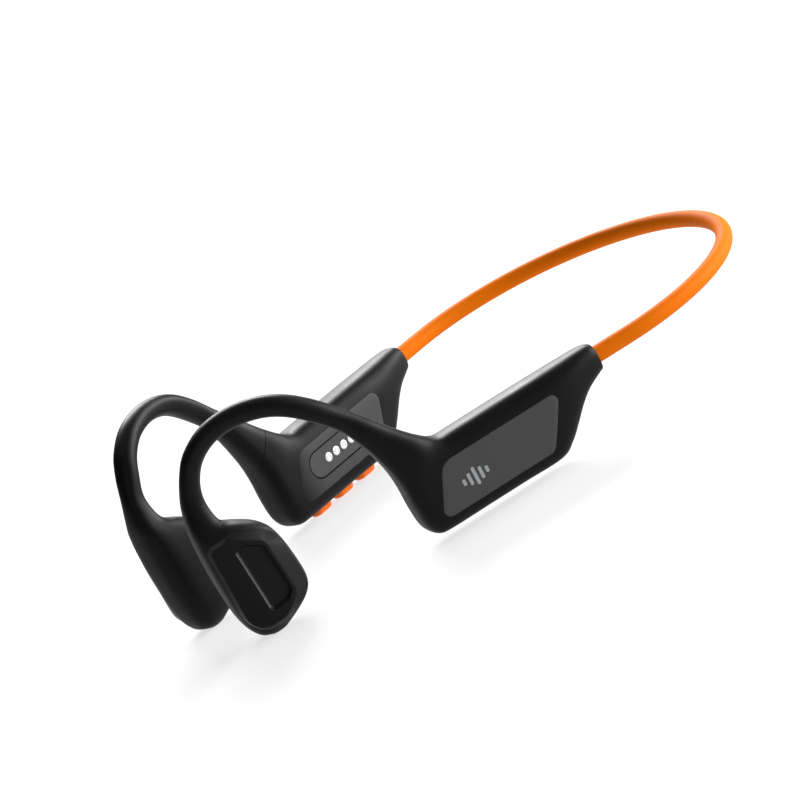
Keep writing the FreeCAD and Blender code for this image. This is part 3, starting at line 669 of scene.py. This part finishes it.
def fade_along_y(material, colour, start, finish):
    """Mix the material's colour in from another one, between two positions along the row's Y."""
    nodes, links = material.node_tree.nodes, material.node_tree.links
    shader = nodes["Principled BSDF"]
    own_colour = shader.inputs["Base Color"].links[0].from_socket
    place = nodes.new("ShaderNodeTexCoord")
    axes = nodes.new("ShaderNodeSeparateXYZ")
    links.new(place.outputs["Object"], axes.inputs["Vector"])
    along = nodes.new("ShaderNodeMapRange")
    along.interpolation_type = "SMOOTHSTEP"
    along.inputs["From Min"].default_value = start
    along.inputs["From Max"].default_value = finish
    links.new(axes.outputs["Y"], along.inputs["Value"])
    mix = nodes.new("ShaderNodeMix")
    mix.data_type = "RGBA"
    mix.inputs["A"].default_value = (*colour, 1)
    links.new(along.outputs["Result"], mix.inputs["Factor"])
    links.new(own_colour, mix.inputs["B"])
    links.new(mix.outputs["Result"], shader.inputs["Base Color"])


BLACK_COLOUR = (0.0015, 0.0015, 0.0017)
BLACK = make_material("soft_touch_black", BLACK_COLOUR, 0.48, grain_scale=3000.0,
                      grain_depth=0.05, specular=0.125)
HOOK_BLACK = make_material("silicone_black", BLACK_COLOUR, 0.45, grain_scale=3000.0,
                           grain_depth=0.05, specular=0.125)
RIM = make_material("glossy_rim", BLACK_COLOUR, 0.38, grain_scale=3000.0, grain_depth=0.02,
                    specular=0.25)
# Painted highlight: a lighter grey base on the pocket's front edge stands in for its highlight
# line; the high specular adds a real reflection.
LEDGE_PAINTED_HIGHLIGHT = make_material("ledge_painted_highlight", (0.05, 0.05, 0.05), 0.25, roughness_spread=0.03,
                      grain_depth=0.01, specular=1.0)
PANEL = make_material("panel_grey", (0.052, 0.052, 0.053), 0.55, grain_scale=4200.0,
                      grain_depth=0.12, specular=0.15)
INNER_PANEL_GREY = make_material("inner_panel_grey", (0.046, 0.046, 0.047), 0.55,
                                 grain_scale=4200.0, grain_depth=0.12, specular=0.15)
# Painted shade: the inner panel's grey fades to the body's black towards its front end.
fade_along_y(INNER_PANEL_GREY, BLACK_COLOUR, -0.032, -0.021)
ORANGE = make_material("silicone_orange", (0.62, 0.128, 0.001), 0.55, grain_scale=2600.0,
                       grain_depth=0.04, variation=0.03, specular=0.03)
BUTTON = make_material("button_orange", (0.78, 0.135, 0.004), 0.36, grain_scale=2600.0,
                       grain_depth=0.04, variation=0.04, specular=0.2)
CONTACT = make_material("plated_contact", (0.74, 0.74, 0.73), 0.32, metallic=0.6,
                        grain_scale=5000.0, grain_depth=0.03)
MARK = make_material("printed_mark", (0.27, 0.28, 0.29), 0.45, grain_scale=5000.0,
                     grain_depth=0.02)
TITANIUM = make_material("titanium_wire", (0.52, 0.50, 0.47), 0.32, metallic=1.0)
LEAD = make_material("lead_insulation", (0.40, 0.03, 0.02), 0.3)
STEEL = make_material("plated_steel", (0.55, 0.55, 0.56), 0.3, metallic=1.0)
COPPER = make_material("copper_winding", (0.72, 0.33, 0.16), 0.35, metallic=1.0,
                       grain_scale=6000.0, grain_depth=0.3)
FOIL = make_material("battery_foil", (0.66, 0.66, 0.68), 0.38, metallic=0.9, grain_depth=0.2)
LAMINATE = make_material("board_laminate", (0.015, 0.13, 0.05), 0.35)
FOAM = make_material("foam_grey", (0.12, 0.12, 0.12), 0.9, grain_scale=2500.0, grain_depth=0.8)
CHIP = make_material("chip_epoxy", (0.02, 0.02, 0.02), 0.5)
SEAL = make_material("seal_silicone", (0.08, 0.08, 0.08), 0.6)

CAD_MATERIALS = {
    "ferrule_steel": STEEL, "magnet_nickel": STEEL, "yoke_steel": STEEL, "spring_steel": STEEL,
    "coil_copper": COPPER, "battery_foil": FOIL, "board_laminate": LAMINATE, "foam_grey": FOAM,
    "chip_black": CHIP, "microphone_metal": STEEL, "antenna_copper": COPPER,
    "switch_metal": STEEL, "seal_silicone": SEAL, "charging_pad_black": PANEL,
    "titanium_wire": TITANIUM, "lead_insulation": LEAD, "button_silicone": BUTTON,
}
for entry in frame["record"]["subparts"]:
    if entry["material_slot"] in CAD_MATERIALS:
        mesh = frame["nodes"][entry["node"]].data
        mesh.materials.clear()
        mesh.materials.append(CAD_MATERIALS[entry["material_slot"]])


# ---- Pods, hooks and transducers --------------------------------------------------------------

def seam_turn(row):
    """Turn of the seam above the inner face, measured from the upper edge outwards."""
    return math.asin(SEAM_SHARE ** (row[5] / 2))


POD_ROWS = ARM_ROWS[:POD_PARTING * STEPS + 1]
HOOK_ROWS = ARM_ROWS[POD_PARTING * STEPS:TRANSDUCER_FIRST * STEPS + 1]
TRANSDUCER_ROWS = ARM_ROWS[TRANSDUCER_FIRST * STEPS:]


def closing_rows(row):
    """Rows that close the transducer's lower end, on the last cross-section."""
    return [scaled_row(row, share, row[4] * share, row[5]) for share in (0.75, 0.5, 0.25, 0.02)]


POD_TREE = skin_tree(0, POD_PARTING)
TRANSDUCER_TREE = skin_tree(TRANSDUCER_FIRST, len(ARM_STATIONS) - 1)
CLOSED_TRANSDUCER_ROWS = TRANSDUCER_ROWS + closing_rows(TRANSDUCER_ROWS[-1])


def outer_span(row):
    """First and last turn of the outer shell's part of a cross-section."""
    return -seam_turn(row), math.pi + seam_turn(row)


def inner_span(row):
    """First and last turn of the inner cover's part of a cross-section."""
    return math.pi + seam_turn(row), 2 * math.pi - seam_turn(row)


def rectangle(along, height, length, tall):
    """Corners of an upright rectangle round a middle."""
    return [(along - length / 2, height + tall / 2), (along + length / 2, height + tall / 2),
            (along + length / 2, height - tall / 2), (along - length / 2, height - tall / 2)]


def button_tool(along, side, sides=20):
    """Upright cutter for a button's opening in the pod's underside."""
    radius = BUTTON_WIDTH / 2 + BUTTON_GAP
    half = BUTTON_LENGTH / 2 - BUTTON_WIDTH / 2
    outline = []
    for end in (1, -1):
        for step in range(sides + 1):
            turn = math.pi * step / sides + (0 if end == 1 else math.pi)
            outline.append((BUTTON_OUT + radius * math.cos(turn),
                            along + end * half + radius * math.sin(turn)))
    points = [Vector((x, y, height)) for height in (-BUTTON_OPENING_TOP, BUTTON_OPENING_TOP)
              for x, y in outline]
    return new_object("button_opening", points, prism_faces(len(outline)), BLACK, side)


def finish_piece(piece, body, slot, *nodes):
    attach(piece, body)
    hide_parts(*nodes)


def build_pod(side, body):
    opening = BAND_TUBE_RADIUS + BAND_OPENING_GAP
    shell = shell_piece(side + "_pod_shell", POD_ROWS, outer_span, OUTER_COLUMNS, side, opening)
    cover = shell_piece(side + "_pod_cover", POD_ROWS, inner_span, INNER_COLUMNS, side, opening)
    floor = POD_THICKNESS / 2 - PANEL_DEPTH
    cut_with(shell, recess_tool(OUTER_PANEL, OUTER_PANEL_RADII, floor, CLEAR, PANEL_GAP, side))
    cut_with(cover, recess_tool(INNER_PANEL, INNER_PANEL_RADII, -CLEAR, -floor, PANEL_GAP, side))
    outer = inlay(side + "_outer_panel_skin", POD_TREE, OUTER_PANEL, OUTER_PANEL_RADII, 1,
                  PANEL_THICKNESS, 0.0, PANEL, side)
    inner = inlay(side + "_inner_panel_skin", POD_TREE, INNER_PANEL, INNER_PANEL_RADII, -1,
                  PANEL_THICKNESS, 0.0, INNER_PANEL_GREY, side)
    if side == "right":
        pad = rectangle(*CHARGE_MIDDLE, CHARGE_LENGTH, CHARGE_HEIGHT)
        pad_radii = [CHARGE_HEIGHT / 2 - 0.01] * 4
        for piece in (cover, inner):
            cut_with(piece, recess_tool(pad, pad_radii, -CLEAR, CHARGE_FLOOR, CHARGE_GAP, side))
        for along in BUTTON_PLACES:
            cut_with(shell, button_tool(along, side))
    for piece in (shell, cover, inner):
        clean(piece)
        smooth(piece)
    finish_piece(shell, body, "case_black", side + "_pod_outer_shell")
    finish_piece(cover, body, "case_black", side + "_pod_inner_cover")
    finish_piece(outer, body, "panel_grey", side + "_outer_panel")
    finish_piece(inner, body, "panel_grey", side + "_inner_panel")


def build_hook(side, body):
    sleeve = sleeve_piece(side + "_hook_skin", HOOK_ROWS, HOOK_BORE_RADIUS, HOOK_BLACK, side)
    smooth(sleeve)
    finish_piece(sleeve, body, "hook_silicone", side + "_hook_sleeve")


def build_contacts(body):
    """Plated charging contacts, each with a fine groove round its sprung middle.

    The first one stands for the CAD node that holds all of them.
    """
    profile = [(1.0, CONTACT_BACK), (1.0, CONTACT_FACE + 0.08), (0.93, CONTACT_FACE),
               (0.62, CONTACT_FACE), (0.56, CONTACT_FACE + CONTACT_GROOVE),
               (0.46, CONTACT_FACE + CONTACT_GROOVE), (0.40, CONTACT_FACE), (0.1, CONTACT_FACE)]
    for number in range(CONTACT_COUNT):
        along = CHARGE_MIDDLE[0] + CONTACT_PITCH * (number - (CONTACT_COUNT - 1) / 2)
        rings = []
        for share, out in profile:
            rings.append([
                Vector((out, along + CONTACT_RADIUS * share * math.cos(turn),
                        CHARGE_MIDDLE[1] + CONTACT_RADIUS * share * math.sin(turn)))
                for turn in even_turns(0.0, 2 * math.pi, 48)[:-1]
            ])
        contact = ring_piece(f"charging_contact_{number + 1}", rings, CONTACT, "right")
        nodes = ["charging_contacts"] if number == 0 else []
        finish_piece(contact, body, "contact_plating", *nodes)


def build_transducer(side, body):
    shell = shell_piece(side + "_transducer_shell", CLOSED_TRANSDUCER_ROWS, outer_span,
                        OUTER_COLUMNS, side)
    cover = shell_piece(side + "_transducer_cover", CLOSED_TRANSDUCER_ROWS, inner_span,
                        INNER_COLUMNS, side)
    cut_with(shell, recess_tool(FACE_EDGE, FACE_EDGE_RADII, FACE_SEAT, CLEAR, PANEL_GAP, side))
    plate = face_plate(side + "_face_plate", side)
    for piece in (shell, cover):
        clean(piece)
        smooth(piece)
    finish_piece(shell, body, "case_black", side + "_transducer_outer_shell")
    finish_piece(cover, body, "case_black", side + "_transducer_skin_cover")
    finish_piece(plate, body, "face_gloss", side + "_transducer_face_insert")


for arm_side in ("left", "right"):
    arm_body = arm_side + "_arm"
    build_pod(arm_side, arm_body)
    build_hook(arm_side, arm_body)
    build_transducer(arm_side, arm_body)
build_contacts("right_arm")


# ---- Neckband ---------------------------------------------------------------------------------

def band_line(shift, insert, arc_steps=140, straight_steps=10):
    """Centres, in metres, along the neckband from the right pod to the left pod."""
    radius = BAND_RADIUS + shift
    half = []
    for step in range(arc_steps + 1):
        turn = math.pi / 2 - (math.pi / 2 + TOE_IN) * step / arc_steps
        half.append(Vector((radius * math.cos(turn), BAND_CENTRE_Y + radius * math.sin(turn),
                            BAND_HEIGHT)))
    direction = Vector((-math.sin(TOE_IN), -math.cos(TOE_IN), 0))
    end = half[-1]
    for step in range(1, straight_steps + 1):
        half.append(end + direction * ((BAND_LEAD + insert) * step / straight_steps))
    mirror = [Vector((-p.x, p.y, p.z)) for p in half[:0:-1]]
    return [p * MM for p in mirror + half]


def band_piece(name, radius, material, nodes, shift, insert, around):
    """Round strand along the neckband, as one curved piece from pod to pod."""
    line = band_line(shift, insert)
    points = []
    for index, centre in enumerate(line):
        before, after = line[max(index - 1, 0)], line[min(index + 1, len(line) - 1)]
        travel = (after - before).normalized()
        side_way = Vector((travel.y, -travel.x, 0)).normalized()
        for step in range(around):
            turn = 2 * math.pi * step / around
            offset = side_way * math.cos(turn) + Vector((0, 0, 1)) * math.sin(turn)
            points.append(centre + offset * radius * MM)
    faces = grid_faces(len(line), around, 0, False, True)
    faces.append(tuple(range(around)))
    last_row = (len(line) - 1) * around
    faces.append(tuple(last_row + step for step in range(around))[::-1])
    piece = new_object(name, points, faces, material)
    smooth(piece)
    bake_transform(piece)
    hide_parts(*nodes)


band_piece("neckband_skin", BAND_TUBE_RADIUS, ORANGE,
           ["left_band_sleeve", "right_band_sleeve"], 0.0, BAND_INSERT, 40)
band_piece("neckband_core_wire", CORE_WIRE_RADIUS, TITANIUM,
           ["left_band_core_wire", "right_band_core_wire"], 0.0, WIRE_INSERT, 16)
band_piece("neckband_outer_lead", LEAD_RADIUS, LEAD,
           ["left_band_lead_wires", "right_band_lead_wires"], LEAD_OFFSET, WIRE_INSERT, 12)
band_piece("neckband_inner_lead", LEAD_RADIUS, LEAD, [], -LEAD_OFFSET,
           WIRE_INSERT, 12)


# ---- Generic mark on the outer panels ---------------------------------------------------------

def build_mark(side, body):
    """Row of rounded level bars, printed on the panel."""
    last = len(MARK_BAR_HEIGHTS) - 1
    radii = [MARK_BAR_WIDTH / 2 - 0.01] * 4
    for index, tall in enumerate(MARK_BAR_HEIGHTS):
        along = MARK_MIDDLE[0] + MARK_BAR_PITCH * (index - last / 2)
        corners = rectangle(along, MARK_MIDDLE[1], MARK_BAR_WIDTH, tall)
        bar = inlay(f"{side}_mark_bar_{index + 1}", POD_TREE, corners, radii, 1, MARK_DEPTH,
                    MARK_PROUD, MARK, side)
        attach(bar, body)


for arm_side in ("left", "right"):
    build_mark(arm_side, arm_side + "_arm")


# ---- Stage ------------------------------------------------------------------------------------

def build_stage():
    mesh = bpy.data.meshes.new("floor")
    size = 6.0
    mesh.from_pydata([(-size, -size, 0), (size, -size, 0), (size, size, 0), (-size, size, 0)], [],
                     [(0, 1, 2, 3)])
    floor = bpy.data.objects.new("floor", mesh)
    bpy.context.scene.collection.objects.link(floor)
    material = bpy.data.materials.new("pale_floor")
    material.use_nodes = True
    shader = material.node_tree.nodes["Principled BSDF"]
    shader.inputs["Base Color"].default_value = (0.30, 0.30, 0.30, 1)
    shader.inputs["Roughness"].default_value = 0.9
    shader.inputs["Specular IOR Level"].default_value = 0.0
    shader.inputs["Emission Color"].default_value = (1, 1, 1, 1)
    shader.inputs["Emission Strength"].default_value = 0.68
    mesh.materials.append(material)
    world = bpy.data.worlds.new("studio")
    bpy.context.scene.world = world
    world.use_nodes = True
    world.node_tree.nodes["Background"].inputs["Color"].default_value = (1, 1, 1, 1)
    world.node_tree.nodes["Background"].inputs["Strength"].default_value = 0.12
    bpy.context.scene.view_settings.view_transform = "Standard"


LIGHTS_AIM = Vector((0, 0, 0.02))


def area_light(name, place, size, power):
    """Rectangular softbox, in metres and watts, aimed at the middle of the object."""
    data = bpy.data.lights.new(name, "AREA")
    data.shape = "RECTANGLE"
    data.size, data.size_y = size
    data.energy = power
    light = bpy.data.objects.new(name, data)
    bpy.context.scene.collection.objects.link(light)
    light.location = place
    aim = LIGHTS_AIM - Vector(place)
    light.rotation_euler = aim.to_track_quat("-Z", "Y").to_euler()


build_stage()
area_light("overhead_softbox", (-0.1, 0.1, 1.3), (1.6, 1.6), 6.0)
area_light("rear_softbox", (0.45, 1.25, 0.6), (1.1, 0.5), 14.0)
area_light("low_rear_strip", (0.3, 1.1, 0.16), (1.1, 0.28), 17.0)
area_light("low_side_strip", (0.95, 0.75, 0.16), (0.9, 0.28), 4.0)
area_light("far_softbox", (-1.1, 0.6, 0.8), (0.9, 0.5), 40.0)
area_light("front_fill", (1.3, -0.9, 0.9), (0.7, 0.7), 1.8)

bpy.context.view_layer.update()
